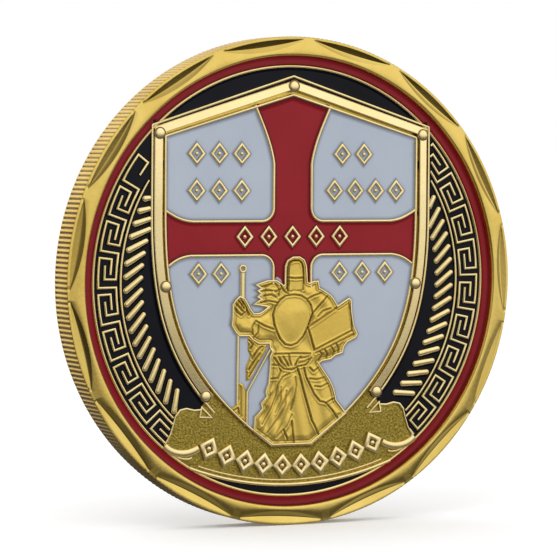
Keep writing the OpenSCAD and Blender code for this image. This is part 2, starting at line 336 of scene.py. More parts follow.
def seg_dist(points, line, closed=False):
    """Distance from each point to a polyline."""
    q = V(line)
    n = len(q) if closed else len(q) - 1
    best = np.full(len(points), 1e9)
    for i in range(n):
        a, b = q[i], q[(i + 1) % len(q)]
        d = b - a
        t = np.clip(((points - a) @ d) / max(d @ d, 1e-12), 0, 1)
        r = points - (a + t[:, None] * d)
        best = np.minimum(best, np.hypot(r[:, 0], r[:, 1]))
    return best


def resample(line, step, closed=True):
    q = V(line)
    out = []
    n = len(q) if closed else len(q) - 1
    for i in range(n):
        a, b = q[i], q[(i + 1) % len(q)]
        k = max(1, int(round(np.linalg.norm(b - a) / step)))
        out += [tuple(a + (b - a) * j / k) for j in range(k)]
    if not closed:
        out.append(tuple(q[-1]))
    return out


def fill(outline, step, margin=0.5):
    """Triangles over an outline, with an even hexagonal grid of points inside it."""
    edge = resample(outline, step)
    q = V(edge)
    lo, hi = q.min(0), q.max(0)
    xs = np.arange(lo[0], hi[0] + step, step)
    ys = np.arange(lo[1], hi[1] + step, step * 0.866)
    gx, gy = np.meshgrid(xs, ys)
    gx = gx + (np.arange(len(ys)) % 2)[:, None] * step / 2
    g = np.stack([gx.ravel(), gy.ravel()], 1)
    g = g[inside(g, outline)]
    g = g[seg_dist(g, outline, True) > step * margin]
    pts = [Vector(p) for p in edge] + [Vector(p) for p in g]
    n = len(edge)
    out = delaunay_2d_cdt(pts, [(i, (i + 1) % n) for i in range(n)], [list(range(n))], 1, 1e-6)
    return V([tuple(p) for p in out[0]]), [tuple(f) for f in out[2]]


def up(faces, pts):
    """Turns each face so that it looks out of the coin's face."""
    res = []
    for f in faces:
        a, b, c = pts[f[0]], pts[f[1]], pts[f[2]]
        s = (b[0] - a[0]) * (c[1] - a[1]) - (b[1] - a[1]) * (c[0] - a[0])
        res.append(tuple(f) if s > 0 else tuple(reversed(f)))
    return res


def plate(part, outline, z, step=0.9, skirt=None):
    """A flat filled outline at height z, with a wall down to skirt if given."""
    pts, faces = fill(outline, step)
    part.add([(x, y, z) for x, y in pts], up(faces, pts))
    if skirt is not None:
        edge = resample(outline, step)
        n = len(edge)
        area = sum(edge[i - 1][0] * edge[i][1] - edge[i][0] * edge[i - 1][1] for i in range(n))
        verts = [(x, y, z) for x, y in edge] + [(x, y, skirt) for x, y in edge]
        fs = [(i, i + n, (i + 1) % n + n, (i + 1) % n) for i in range(n)]
        part.add(verts, fs if area > 0 else [f[::-1] for f in fs])


def spun(profile, n, cx=0, cy=0):
    """Vertices of a profile of (radius, height), turned round (cx, cy) in n columns."""
    verts = []
    for i in range(n):
        a = 2 * math.pi * i / n
        verts += [(cx + r * math.cos(a), cy + r * math.sin(a), z) for r, z in profile]
    return verts


def ring_surface(part, profile, n=360):
    """Turns a profile of (radius, height) round the coin's axis, listed from the inside out."""
    m = len(profile)
    faces = [(i * m + k, i * m + k + 1, ((i + 1) % n) * m + k + 1, ((i + 1) % n) * m + k)
             for i in range(n) for k in range(m - 1)]
    part.add(spun(profile, n), faces)


# ---- rim and edge

REEDS = 310
COLS_PER_REED = 6
CUTS = 15
CUT_PITCH = 360 / CUTS
CUT_PHASE = 15.3
LIP_R = 19.76
LAND_R = 18.6
LAND_Z = 1.497
# The two circles that bound a scallop: distance of the centre from the axis, and radius
CRESCENT = (31.4, 12.56)
LENS = (57.9, 38.64)
# The reeding gets painted shade, darkest at this clockwise angle and none beyond the reach on either side
DARK_AT = 212
DARK_REACH = 41


def arc_radius(delta, centre, rho):
    """Radius where a circle of radius rho is met, delta degrees off its middle.

    Where it isn't met, the lip's radius.
    """
    off = centre * math.sin(math.radians(delta))
    if abs(off) >= rho:
        return LIP_R
    return min(LIP_R, centre * math.cos(math.radians(delta)) - math.sqrt(rho * rho - off * off))


def land(r):
    """Height of the rim's plain band, which slopes a little outward."""
    return LAND_Z - 0.10 * max(0.0, r - 18.7)


def rim_profile(angle):
    """Points (radius, height) from the inner wall over the lip, the reeds' top, and painted shade per point.

    Each scallop is a hollow closed by a lip: a crescent that falls outward, and a lens that climbs
    back to the lip.
    """
    d = (angle - CUT_PHASE + CUT_PITCH / 2) % CUT_PITCH - CUT_PITCH / 2
    start = arc_radius(d, *CRESCENT)
    ridge = max(start, arc_radius(d, *LENS))
    fall, climb = ridge - start, LIP_R - ridge
    # Painted shade by where the point lies round the coin: upper darkens the lenses towards the top, left the
    # crescents towards the left, lower the plain band towards the bottom
    upper = (1 + math.cos(math.radians(angle - 5))) / 2
    left = (1 + math.cos(math.radians(angle - 262))) / 2
    lower = 0.22 * (1 - upper) ** 2
    on = min(1.0, fall / 0.1)
    pts = [(18.40, 0.5, 0), (18.40, 0.8, 0), (18.40, 1.15, 0), (18.42, 1.33, 0), (18.46, 1.43, 0),
           (18.52, 1.48, 0), (LAND_R, LAND_Z, 0)]
    for t in (0.5, 1.0):
        r = LAND_R + (start - LAND_R) * t
        pts.append((r, land(r), lower))
    z = land(start)
    for t, slope in ((0.02, 0.4), (0.35, 0.52), (0.35, 0.46), (0.28, 0.32)):
        r = pts[-1][0] + fall * t
        z -= fall * t * slope
        pts.append((r, z, 0.55 * left ** 1.5 * on))
    rise = min(land(LIP_R) - z, 0.45 * climb)
    for t, part in ((0.03, 0.02), (0.47, 0.4), (0.97, 0.97)):
        pts.append((ridge + climb * t, z + rise * part, 0.72 * upper ** 1.2 * on))
    z += rise
    pts += [(LIP_R, z, 0), (19.93, z - 0.012, 0), (19.955, z - 0.04, 0)]
    return [q[:2] for q in pts], z - 0.07, [q[2] for q in pts]


def reed_depth(u):
    """Depth of the edge below its full radius, a fraction u across one reed; the land is in the middle."""
    t = abs(u - 0.5) * 2
    if t < 0.5:
        return 0.012 * (t / 0.5) ** 2
    s = min(1.0, (t - 0.5) / 0.42)
    return 0.012 + 0.125 * (1 - math.cos(math.pi * s)) / 2


rim = Part("rim", RIMGOLD, "gold", sink=0)
cols = REEDS * COLS_PER_REED
verts, shades = [], []
for i in range(cols):
    a = 180 + (i + 0.5 - COLS_PER_REED / 2) * 360 / cols
    pts, z_top, tint = rim_profile(a)
    dep = reed_depth(((i + 0.5) / COLS_PER_REED) % 1.0)
    # Painted shade: the grooves between the reeds, and the reeding round DARK_AT, darkened
    groove = 0.85 * min(1.0, max(0.0, dep - 0.04) / 0.07)
    dark = max(0.0, math.cos(math.radians(a - DARK_AT) * 2.2)) * (abs(a - DARK_AT) < DARK_REACH)
    sh = min(0.95, groove + 0.55 * dark)
    col = [(r, z, t) for (r, z), t in zip(pts, tint)]
    col.append((R - dep - 0.012, z_top - 0.03, sh))
    for z in (z_top - 0.09, 0.35, -0.35, -(z_top - 0.09)):
        col.append((R - dep, z, sh))
    col.append((R - dep - 0.012, -(z_top - 0.03), sh))
    col += [(r, -z, t) for (r, z), t in zip(reversed(pts), reversed(tint))]
    for r, z, t in col:
        verts.append((*polar(a, r), z))
        shades.append(t)
# Each column has the rim's points of one face, then the edge's, then the rim's points of the other
rows, rim_rows = len(col), len(pts)
rim_faces, edge_faces = [], []
for i in range(cols):
    j = (i + 1) % cols
    for k in range(rows - 1):
        f = (i * rows + k, j * rows + k, j * rows + k + 1, i * rows + k + 1)
        (edge_faces if rim_rows - 1 <= k < rows - rim_rows else rim_faces).append(f)


def subset(part, verts, faces, shades):
    """Adds some of the faces, with only the vertices that they use."""
    used = sorted({i for f in faces for i in f})
    place = {v: n for n, v in enumerate(used)}
    part.add([verts[i] for i in used], [tuple(place[i] for i in f) for f in faces], [shades[i] for i in used])


subset(rim, verts, rim_faces, shades)
rim.make(30)
edge = Part("reeded_edge", EDGE, "gold", sink=0)
subset(edge, verts, edge_faces, shades)
edge.make(60)

# ---- shared rings and floors

core = Part("body_core", SATIN, "gold", sink=0)
CORE_RADII = (0.5, 9, 17.0, 18.42)
for side in (1, -1):
    n, m = 128, len(CORE_RADII)
    verts = [(0, 0, side * FLOOR)] + spun([(r, side * FLOOR) for r in CORE_RADII], n)
    fs = []
    for i in range(n):
        j = (i + 1) % n
        fs.append((0, 1 + i * m, 1 + j * m))
        fs += [(1 + i * m + k, 2 + i * m + k, 2 + j * m + k, 1 + j * m + k) for k in range(m - 1)]
    core.add(verts, fs if side > 0 else [f[::-1] for f in fs])
core_obj = core.make()


def ring_wire(part, r0, r1, top=1.30):
    e = 0.07
    mid = (r0 + r1) / 2
    ring_surface(part, [(r0, 0.9), (r0, top - e), (r0 + 0.03, top - e * 0.4), (r0 + 0.08, top),
                        (mid, top + 0.01),
                        (r1 - 0.08, top), (r1 - 0.03, top - e * 0.4), (r1, top - e), (r1, 0.9)], 480)


# Painted shade on the red ring's enamel, darkest against the walls at its inner and outer edges
RED_SHADE = [0.9, 0.5, 0.12, 0, 0, 0.15, 0.5, 0.8, 1.0]


def red_ring(name, node_name, back):
    p = Part(name, RED, "red_enamel", back)
    prof = [(17.68, 1.22), (17.72, 1.185), (17.79, 1.15), (17.9, 1.13), (18.1, 1.125), (18.24, 1.135),
            (18.33, 1.17), (18.38, 1.22), (18.42, 1.28)]
    ring_surface(p, prof, 360)
    p.s = RED_SHADE * 360
    p.make(60, [node_name])


red_ring("red_ring_front", "front_red_ring", False)
red_ring("red_ring_back", "back_red_ring", True)

# ---- shield outlines

# Bezier points of the field's right side, then heights of the top point and of the upper corner,
# at the field's edge and FRAME mm outside it
SIDE = ((11.25, 6.0), (11.30, -3.0), (9.6, -7.6), (1.75, -13.35))
TIP_IN, TIP_OUT = 15.1, 16.88
CORNER_IN, CORNER_OUT = 11.75, 12.78
FRAME = 1.38


def half_shield(d, n=26):
    """Right half of the shield's outline, d mm outside the edge of its field."""
    pts = [(0, TIP_IN + d * (TIP_OUT - TIP_IN) / FRAME),
           (11.25 + d * 0.98, CORNER_IN + d * (CORNER_OUT - CORNER_IN) / FRAME)]
    a, b, c, e = (V(p) for p in SIDE)
    for t in np.linspace(0, 1, n + 1):
        p = a * (1 - t) ** 3 + 3 * b * t * (1 - t) ** 2 + 3 * c * t * t * (1 - t) + e * t ** 3
        v = (b - a) * (1 - t) ** 2 + 2 * (c - b) * t * (1 - t) + (e - c) * t * t
        v = v / np.linalg.norm(v)
        pts.append((p[0] - v[1] * d, p[1] + v[0] * d))
    return pts


def shield(d):
    h = half_shield(d)
    return h + flip(h)[:-1]


front_wires = Part("front_lines", WIRE, "gold")
ring_wire(front_wires, 17.46, 17.69)

# Inner line of the shield, all the way round
sweep(front_wires, shield(0.1), wire_profile(0.2, 1.33), closed=True)
# Outer line, from ribbon to ribbon over the top
outer = half_shield(1.28, 60)
outer = [p for p in outer if p[1] > -10.9]
sweep(front_wires, flip(outer)[:-1] + outer, wire_profile(0.2, 1.33))

# Frame band: outer edge lower than the inner, so that it catches the light from its own side
frame_part = Part("front_shield_frame", POLISHED, "gold")
band_mid = half_shield(0.74, 60)
band_mid = [p for p in band_mid if p[1] > -9.4]
band_path = flip(band_mid)[:-1] + band_mid
W = 0.35
frame_prof = [(-W, 0.95), (-W, 1.38), (-W + 0.05, 1.425), (-0.1, 1.40), (W - 0.06, 1.345), (W, 1.29),
              (W, 0.95)]
sweep(frame_part, band_path, frame_prof)
frame_part.make(25)

rivets = Part("front_rivets", POLISHED, "gold")
# Painted shade: a dark ring round the foot of each rivet's dome
RIVET_SHADE = [0.5, 0.5, 0.95, 1.0, 0.4, 0.0, 0.0, 0.0, 0.0, 0.0]
RIVETS = [(0, 15.95), (-11.9, 12.05), (11.9, 12.05), (-11.32, -0.3), (11.32, -0.3), (-7.75, -9.25),
          (7.75, -9.25)]
prof = [(0.50, 1.30), (0.495, 1.436), (0.465, 1.438), (0.415, 1.436), (0.385, 1.44), (0.35, 1.46),
        (0.30, 1.474), (0.23, 1.486), (0.15, 1.494), (0.07, 1.498)]
n, q = 32, len(prof)
for rx, ry in RIVETS:
    verts = spun(prof, n, rx, ry) + [(rx, ry, 1.499)]
    fs = [(i * q + k, i * q + k + 1, (i + 1) % n * q + k + 1, (i + 1) % n * q + k)
          for i in range(n) for k in range(q - 1)]
    fs += [(i * q + q - 1, (i + 1) % n * q + q - 1, n * q) for i in range(n)]
    rivets.add(verts, fs, RIVET_SHADE * n + [0.0])
rivets.make(50)

# ---- key bands and rope bars

KEY_W = 0.2
KEY_START, KEY_PITCH = 48.8, 10
BAR_PITCH, BAR_LEAN = 4.24, 4.2
BAR_OUT, BAR_IN = 14.74, 13.42


def key_line(a):
    mo, mi, ki, ko = 16.62, 16.1, 15.6, 17.15
    pts = [(a - 3.8, mo), (a - 7.7, mo), (a - 7.7, ki), (a - 3.8, ki), (a, ki), (a, ko), (a + 2.7, ko),
           (a + 5.4, ko),
           (a + 8.1, ko), (a + 8.1, mi), (a + 3.7, mi)]
    return [polar(x, r) for x, r in pts]


def outside_shield(p, d=1.42):
    x, y = abs(p[0]), p[1]
    return not inside(V([(x, y)]), shield(d))[0]


SHIELD_OUT = shield(1.42)
RIBBON_EDGE = [
    (8.15, -10.35), (8.75, -10.38), (9.4, -10.22), (9.95, -10.33), (10.35, -10.8), (10.5, -11.4),
    (10.8, -12.3), (11.3, -13.15)]


def clear(path, step=0.12):
    """Parts of a path that lie outside the shield and the ribbon, cut where they meet them."""
    q = resample(path, step, closed=False)
    a = V(q)
    mirrored = np.stack([np.abs(a[:, 0]), a[:, 1]], 1)
    bad = inside(a, SHIELD_OUT)
    rib = [(0, -9)] + RIBBON_EDGE + [(11.3, -19), (0, -19)]
    bad |= inside(mirrored, rib)
    runs, cur = [], []
    for p, b in zip(q, bad):
        if b:
            if len(cur) > 2:
                runs.append(cur)
            cur = []
        else:
            cur.append(p)
    if len(cur) > 2:
        runs.append(cur)
    out = []
    for r in runs:
        keep = [r[0]]
        for i in range(1, len(r) - 1):
            u, w = V(r[i]) - V(keep[-1]), V(r[i + 1]) - V(r[i])
            if abs(u[0] * w[1] - u[1] * w[0]) > 1e-4 * np.linalg.norm(u) * np.linalg.norm(w) * 20:
                keep.append(r[i])
        keep.append(r[-1])
        out.append(keep)
    return out


keys = Part("front_key_lines", WIRE, "gold")
rope = Part("front_rope_bars", WIRE, "gold")
cells = {}
for side in (-1, 1):
    tag = "left" if side < 0 else "right"
    cells["keys_" + tag] = Part("enamel_keys_" + tag, BLACK, "black_enamel")
    cells["rope_" + tag] = Part("enamel_rope_" + tag, BLACK, "black_enamel")

for start in list(range(0, 10)) + list(range(17, 26)):
    a = KEY_START + KEY_PITCH * start
    side = "right" if a < 180 else "left"
    for run in clear(key_line(a)):
        sweep(keys, run, wire_profile(KEY_W, 1.30))
        creep(cells["keys_" + side], run, KEY_W, 0.06, 0.1)


def bar(part, p0, p1, w0, w1, top, base=1.02):
    """A slanted bar with round ends and a crowned top."""
    p0, p1 = V(p0), V(p1)
    u = (p1 - p0) / np.linalg.norm(p1 - p0)
    v = V((-u[1], u[0]))
    outline = []
    for i in range(9):
        t = math.pi / 2 + math.pi * i / 8
        outline.append((p0, w0, t))
    for i in range(9):
        t = -math.pi / 2 + math.pi * i / 8
        outline.append((p1, w1, t))
    rings = [(1.0, base), (1.0, top - 0.13), (0.88, top - 0.06), (0.6, top - 0.015), (0.25, top)]
    verts = []
    n = len(outline)
    for s, z in rings:
        for c, w, t in outline:
            q = c + (u * math.cos(t) + v * math.sin(t)) * w / 2 * s
            verts.append((q[0], q[1], z))
    fs = [(k * n + i, k * n + (i + 1) % n, (k + 1) * n + (i + 1) % n, (k + 1) * n + i)
          for k in range(len(rings) - 1) for i in range(n)]
    fs.append(tuple((len(rings) - 1) * n + i for i in range(n)))
    part.add(verts, fs)


for a0, a1 in ((58.12, 134), (225.26, 303)):
    a = a0
    while a < a1:
        p_out, p_in = polar(a, BAR_OUT), polar(a + BAR_LEAN, BAR_IN)
        runs = clear([p_in, p_out])
        if runs and len(runs[0]) >= 2:
            q0, q1 = runs[0][0], runs[0][-1]
            if math.dist(q0, q1) > 0.35:
                wide_out = 0.53 if a > 180 else 0.46
                wide_in = 0.44 if a > 180 else 0.50
                bar(rope, q0, q1, wide_in, wide_out, 1.33)
                tag = "rope_right" if a < 180 else "rope_left"
                creep(cells[tag], [q0, q1], 0.36, 0.09, 0.24)
        a += BAR_PITCH
keys.make(40)
rope.make(50)


def side_field(side, r0, r1):
    """Outline of the part of the recess between two radii beside the shield."""
    lo_a, hi_a = 46, 140
    outer_arc = [polar(a, r1) for a in np.linspace(lo_a, hi_a, 70)]
    if r0 > 14:
        inner_arc = [polar(a, r0) for a in np.linspace(hi_a, lo_a + 6, 60)]
        pts = outer_arc + inner_arc
    else:
        pts = outer_arc + [(6.5, -9.3), (8.4, -8.2), (10.2, -5), (11.6, 0), (12.2, 8)]
    return sided(pts, side)


for side in (-1, 1):
    tag = "left" if side < 0 else "right"
    cell = cells["keys_" + tag]
    plate(cell, side_field(side, 15.1, 17.5), ENAMEL, 0.8)
    div = [polar(side * a, 15.2) for a in np.linspace(54, 136, 80)]
    div = [p for p in div if outside_shield(p, 1.3)]
    for run in clear(div, 0.3):
        sweep(front_wires, run, wire_profile(0.18, 1.29))
        creep(cell, run, 0.18, 0.06, 0.1)
    cell.make(40, ["front_black_keys_" + tag])
    cell = cells["rope_" + tag]
    plate(cell, side_field(side, 0, 15.15), ENAMEL, 0.8)
    for run in clear(div, 0.3):
        creep(cell, run, 0.18, 0.06, 0.1)
    edge_run = [p for p in half_shield(1.28, 60) if -9.8 < p[1] < 12]
    hem(cell, sided(edge_run, side), 0.2, 0.1, 0.3, 1)
    cell.make(40, ["front_black_rope_" + tag])

top = Part("enamel_top", BLACK, "black_enamel")
top_arc = [polar(a, 17.5) for a in np.linspace(-45, 45, 60)]
plate(top, top_arc + [(12.2, 12.5), (0, 16.3), (-12.2, 12.5)], ENAMEL, 0.8)
hem(top, [(-12.3, 12.72), (0, 16.75), (12.3, 12.72)], 0.2, 0.1, 0.3, 1)
hem(top, top_arc, 0.05, 0.1, 0.25, -1)
top.make(40, ["front_black_top"])

# ---- cross and quarters

UPPER = (bez((3.42, 14.35), (2.62, 12.6), (1.95, 11.2), (1.71, 9.6), 10) + arc(2.76, 5.96, 1.05, 180, 270, 8)
         + [(4.5, 4.91), (6.5, 4.91)] + bez((8.9, 4.91), (9.9, 4.97), (10.5, 5.3), (11.4, 5.85), 8))
LOWER = (bez((11.0, 1.35), (10.5, 1.75), (10.0, 2.05), (9.1, 2.14), 8) + [(6.5, 2.14), (4.5, 2.14)]
         + arc(2.76, 1.09, 1.05, 90, 180, 8) + [(1.71, 0.3), (1.71, -0.9)])
for path in (UPPER, flip(UPPER), LOWER, flip(LOWER)):
    sweep(front_wires, path, wire_profile(0.22, 1.31))

field_right = half_shield(0.05, 40)
side_up = [p for p in field_right[1:] if p[1] > 5.7]
side_down = [p for p in field_right[2:] if p[1] < 1.5]
quarter_upper = UPPER + [(11.3, 6.2)] + side_up[::-1] + [(3.5, 14.1)]
quarter_lower = [(11.0, 1.35)] + LOWER[1:] + [(1.71, -13.35)] + [p for p in side_down[::-1] if p[1] > -13.3]

MOTIFS_UP_L = [(-8.6, 10.4), (-6.6, 10.4), (-4.6, 10.4), (-8.6, 7.4), (-6.6, 7.4), (-4.6, 7.4)]
MOTIFS_UP_R = [(4.5, 10.4), (6.5, 10.4), (3.8, 7.4), (5.7, 7.4), (7.6, 7.4), (9.5, 7.4)]
MOTIFS_CROSS = [(x, 3.65) for x in (-4.3, -2.15, 0, 2.15, 4.3)]
MOTIFS_LOW_L = [(-8.4, 0.65), (-6.4, 0.65)]
MOTIFS_LOW_R = [(4.3, 0.65), (6.4, 0.65), (8.5, 0.65)]
motifs = Part("front_lozenges", WIRE, "gold")


def lozenge(part, cx, cy, w, h, turn=0.0, top=1.3, line=0.24, base=1.02, pellet=0.17, under=None):
    ring = [(w - line / 2, 0), (0, h - line / 2), (-w + line / 2, 0), (0, -h + line / 2)]
    ring = resample(placed(ring, cx, cy, turn), 0.4)
    sweep(part, ring, wire_profile(line, top, base), closed=True)
    if under is not None:
        creep(under, ring, line, 0.09, 0.2, closed=True)
    n, prof = 16, [(pellet, base), (pellet, top - 0.1), (pellet * 0.85, top - 0.04),
                   (pellet * 0.5, top - 0.005)]
    verts = spun(prof, n, cx, cy) + [(cx, cy, top)]
    q = len(prof)
    fs = [(i * q + k, (i + 1) % n * q + k, (i + 1) % n * q + k + 1, i * q + k + 1)
          for i in range(n) for k in range(q - 1)]
    fs += [(i * q + q - 1, (i + 1) % n * q + q - 1, n * q) for i in range(n)]
    part.add(verts, fs)
    if under is not None:
        creep(under, [(cx - 0.02, cy), (cx + 0.02, cy)], pellet * 2, 0.07, 0.12)


def side_run(lo, hi, side):
    run = [p for p in resample(half_shield(0.1, 60)[1:], 0.5, closed=False) if lo < p[1] < hi]
    return sided(run, side)


for side, spots, nm in ((-1, MOTIFS_UP_L, "left"), (1, MOTIFS_UP_R, "right")):
    p = Part("enamel_upper_" + nm, WHITE, "white_enamel")
    plate(p, sided(quarter_upper, side), ENAMEL, 0.8)
    hem(p, sided(UPPER, side), 0.22, 0.1, 0.3, 1)
    hem(p, side_run(5.8, 11.8, side), 0.2, 0.1, 0.3, -1)
    hem(p, sided([(3.4, 14.1), (11.3, 11.85)], side), 0.2, 0.1, 0.3, -1)
    for cx, cy in spots:
        lozenge(motifs, cx, cy, 0.76, 0.88, under=p)
    p.make(40, ["front_white_upper_" + nm])

# ---- figure

FIGURE = [
    (-0.62, -0.25), (-0.64, 0.6), (-0.62, 1.25), (-0.42, 1.68), (0.05, 1.93), (0.62, 1.95),
    (1.02, 1.72), (1.22, 1.25), (1.28, 0.55), (1.30, -0.12), (1.55, -0.25), (1.95, -0.08),
    (2.32, -0.05), (2.42, -0.62), (2.95, -0.9), (3.35, -1.15), (3.65, -1.42), (3.9, -1.8),
    (4.13, -2.15), (5.18, -1.52), (5.35, -1.62), (5.42, -2.6), (5.6, -3.8), (5.95, -4.42), (5.8, -4.72),
    (5.05, -5.05), (4.7, -5.45), (4.6, -5.95), (4.1, -6.1), (3.85, -6.2), (3.55, -6.45), (2.75, -6.58),
    (2.42, -6.8), (2.75, -7.3), (3.05, -7.7), (3.4, -8.2), (3.7, -8.75), (3.88, -9.3), (4.0, -9.85),
    (4.45, -10.4), (4.95, -10.97), (1.72, -13.38), (-1.72, -13.38), (-3.45, -12.15), (-3.3, -11.6),
    (-3.28, -11.1), (-2.9, -10.75), (-2.6, -10.4), (-2.72, -10.0), (-2.45, -9.7), (-2.2, -9.4),
    (-2.32, -9.0), (-2.05, -8.35), (-1.98, -7.45), (-1.92, -6.6), (-1.95, -6.15), (-1.75, -5.75),
    (-2.0, -5.4), (-2.0, -5.05), (-3.0, -5.05), (-3.55, -4.75), (-3.85, -4.4), (-4.75, -4.38),
    (-5.05, -4.12), (-5.42, -3.5), (-5.3, -2.7), (-5.3, -1.85), (-5.05, -1.5), (-4.72, -1.22),
    (-4.32, -1.4), (-4.05, -1.8), (-3.85, -2.2), (-3.5, -2.65), (-2.95, -2.65), (-2.5, -2.4),
    (-2.1, -2.05), (-2.6, -1.98), (-3.4, -1.85), (-3.0, -1.6), (-2.7, -1.45), (-3.1, -1.25),
    (-2.75, -1.0), (-3.08, -0.75), (-2.7, -0.6), (-3.2, -0.28), (-2.9, -0.18), (-2.25, 0.02),
    (-1.45, 0.03), (-1.0, -0.22), (-0.8, -0.45)]
TARGE = [
    (0.1, -1.12), (-0.6, -1.2), (-1.15, -1.55), (-1.6, -2.1), (-1.78, -2.75), (-1.68, -3.5),
    (-1.4, -4.2), (-1.1, -4.75), (-0.65, -5.2), (-0.1, -5.3), (0.45, -5.1), (0.95, -4.6), (1.3, -4.0),
    (1.6, -3.2), (1.8, -2.6), (1.65, -2.0), (1.25, -1.5), (0.75, -1.2)]
BOOK = [
    (1.38, -3.85), (5.15, -1.6), (5.38, -3.0), (5.5, -4.15), (2.0, -5.72)]
HELM = [
    (-0.45, -0.8), (-0.48, 0.4), (-0.45, 1.2), (-0.28, 1.52), (0.1, 1.7), (0.55, 1.7), (0.8, 1.48),
    (0.92, 1.1), (0.98, 0.3), (0.95, -0.7)]
CUTS_IN = [
    (TARGE + TARGE[:1], 1.0), (BOOK + BOOK[:1], 0.8), (HELM, 1.0),
    ([(-0.47, 0.28), (0.2, 0.22), (0.95, 0.26)], 1.0), ([(2.15, -5.95), (5.65, -4.5)], 0.7),
    ([(1.35, -1.5), (2.0, -1.2), (2.7, -1.0)], 0.9), ([(1.78, -2.75), (2.4, -2.1), (3.2, -1.3)], 1.0),
    ([(1.45, -3.6), (1.8, -2.8)], 0.8), ([(2.3, -2.95), (2.8, -2.5), (3.5, -2.3)], 0.7),
    ([(-3.25, -3.25), (-2.5, -3.65), (-1.65, -3.95)], 0.9),
    ([(-3.62, -4.3), (-3.62, -3.7), (-3.3, -3.2)], 0.7),
    ([(-3.55, -4.65), (-3.1, -4.2), (-3.05, -3.5)], 0.8),
    ([(-5.2, -2.15), (-4.95, -2.5), (-4.6, -2.75), (-4.35, -2.5)], 1.0),
    ([(-5.05, -1.8), (-4.5, -2.4)], 1.0), ([(-4.88, -1.5), (-4.3, -2.2)], 1.0),
    ([(-4.7, -1.3), (-4.15, -2.1), (-3.95, -2.75)], 1.0),
    ([(-1.6, -5.98), (0, -5.95), (1.65, -6.0)], 0.8),
    ([(-1.6, -6.3), (-1.2, -6.85), (-0.7, -7.2), (0, -7.28), (0.5, -7.02), (1.25, -6.9), (1.7, -6.35)], 1.0),
    ([(-1.25, -6.2), (-0.95, -6.7), (-0.6, -7.0)], 0.8),
    ([(-0.85, -6.15), (-0.55, -6.6), (-0.35, -6.95)], 0.8),
    ([(0.25, -6.95), (0.5, -6.5), (0.75, -6.2)], 0.8), ([(0.6, -6.75), (1.1, -6.65), (1.5, -6.4)], 0.7),
    ([(0.7, -6.35), (1.2, -6.3), (1.6, -6.15)], 0.7),
    ([(-0.3, -6.0), (-0.25, -6.45), (-0.1, -6.9)], 0.8),
    ([(0.45, -7.15), (0.7, -7.8), (1.0, -8.9), (1.4, -10.2), (1.8, -11.5), (2.5, -12.75)], 1.0),
    ([(1.05, -7.1), (1.25, -7.9), (2.0, -9.3), (2.55, -9.95), (3.1, -10.08), (3.9, -9.75)], 1.0),
    ([(3.1, -10.1), (3.7, -10.7), (4.2, -11.4)], 1.0), ([(3.9, -9.9), (4.7, -10.9)], 0.6),
    ([(0.0, -11.5), (0.1, -12.4), (0.22, -13.3)], 1.0),
    ([(1.6, -7.15), (1.95, -7.48), (2.4, -7.2)], 0.9),
    ([(1.6, -8.05), (2.2, -8.15), (2.95, -8.0)], 0.7), ([(2.1, -8.7), (2.6, -8.78), (3.3, -8.5)], 0.7),
    ([(-2.7, -11.7), (-1.9, -10.4), (-1.5, -9.4), (-1.3, -8.5), (-0.8, -7.85), (-0.25, -7.6)], 0.7),
    ([(-2.2, -12.4), (-1.2, -11.2), (-0.6, -10.2), (-0.5, -9.0)], 0.6),
    ([(0.3, -7.9), (0.42, -8.6), (0.2, -9.6), (-0.1, -10.6)], 0.7),
    ([(-1.4, -12.8), (-0.45, -11.9), (0.0, -11.0)], 0.6), ([(-0.75, -12.2), (-0.35, -13.1)], 0.9),
    ([(-1.0, -8.7), (-1.05, -9.8), (-1.5, -10.8)], 0.5),
    ([(-1.85, -6.85), (-1.25, -6.9), (-1.02, -7.4), (-1.3, -7.95), (-1.9, -8.0)], 0.8),
    ([(-2.95, -0.45), (-2.3, -0.4), (-1.7, -0.1)], 0.9),
    ([(-2.85, -0.8), (-2.1, -0.75), (-1.5, -0.85), (-1.0, -0.6)], 0.9),
    ([(-2.6, -1.2), (-1.9, -1.1), (-1.5, -1.3)], 0.9),
    ([(-2.9, -1.75), (-2.2, -1.6), (-1.4, -1.75)], 0.9),
    ([(-1.05, -0.3), (-0.75, -0.85), (-0.45, -1.0)], 1.0),
    ([(-1.6, -0.15), (-1.2, -0.7), (-1.3, -1.2)], 0.8),
    ([(2.4, -6.6), (2.75, -6.05), (2.5, -5.85)], 0.9), ([(3.1, -6.45), (3.2, -6.0), (2.95, -5.7)], 0.9),
    ([(3.7, -6.2), (3.85, -5.85), (3.55, -5.45)], 0.9), ([(4.2, -6.0), (4.25, -5.6), (4.0, -5.2)], 0.9)]


def smooth(x):
    x = np.clip(x, 0, 1)
    return x * x * (3 - 2 * x)


